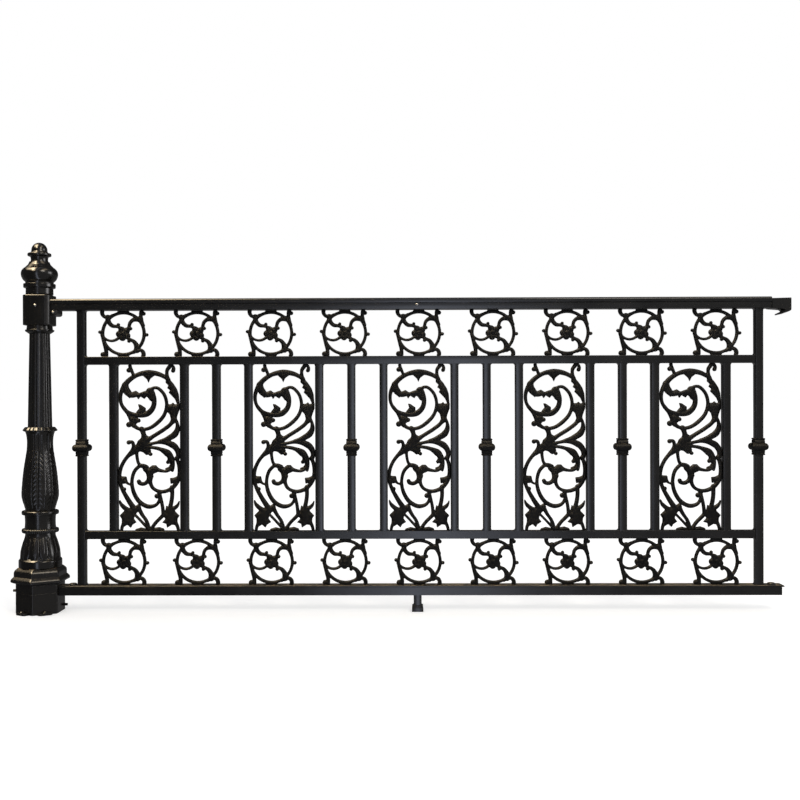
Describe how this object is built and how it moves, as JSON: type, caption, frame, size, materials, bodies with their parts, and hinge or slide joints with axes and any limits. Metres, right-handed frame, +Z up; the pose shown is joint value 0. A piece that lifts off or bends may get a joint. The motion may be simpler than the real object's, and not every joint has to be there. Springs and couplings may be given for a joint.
{
  "type": "ornamental fence panel with newel post",
  "caption": "Black cast and tube aluminium fence panel with scroll castings, rosette bands, knuckled pickets and a turned newel post on a hexagonal base.",
  "frame": {"origin": "centre of the newel post's flat base, on the ground", "axes": "+X along the fence from the post to the free rail ends, +Y from front to back, +Z up"},
  "size_m": [2.4715, 0.186, 1.181],
  "materials": {
    "post_paint": "gloss black paint on cast aluminium",
    "bar_paint": "satin black powder coat on square tube",
    "casting_paint": "satin black powder coat on castings"
  },
  "bodies": {
    "root": {"bottom_rail": "bar_paint", "bottom_rail_cover": "bar_paint", "bottom_rail_plugs": "bar_paint", "foot_shoe": "bar_paint", "foot_stem": "bar_paint", "knuckle_collars": "casting_paint", "left_end_upright": "bar_paint", "lower_sub_rail": "bar_paint", "picket_1": "bar_paint", "picket_2": "bar_paint", "picket_3": "bar_paint", "picket_4": "bar_paint", "post_ball": "post_paint", "post_base_band": "post_paint", "post_base_lip": "post_paint", "post_base_lugs": "post_paint", "post_base_moulding": "post_paint", "post_bell": "post_paint", "post_capital": "post_paint", "post_drum": "post_paint", "post_drum_ring": "post_paint", "post_finial": "post_paint", "post_neck": "post_paint", "post_plinth": "post_paint", "post_rail_block": "post_paint", "post_rail_cradle": "post_paint", "post_shaft": "post_paint", "post_vase": "post_paint", "post_vase_foot": "post_paint", "post_vase_lip": "post_paint", "right_end_upright": "bar_paint", "rosettes_lower": "casting_paint", "rosettes_upper": "casting_paint", "scroll_panels": "casting_paint", "stile_1_left": "bar_paint", "stile_1_right": "bar_paint", "stile_2_left": "bar_paint", "stile_2_right": "bar_paint", "stile_3_left": "bar_paint", "stile_3_right": "bar_paint", "stile_4_left": "bar_paint", "stile_4_right": "bar_paint", "stile_5_left": "bar_paint", "stile_5_right": "bar_paint", "top_rail_body": "bar_paint", "top_rail_cap": "bar_paint", "top_rail_end_bracket": "bar_paint", "upper_sub_rail": "bar_paint"}
  },
  "joints": []
}
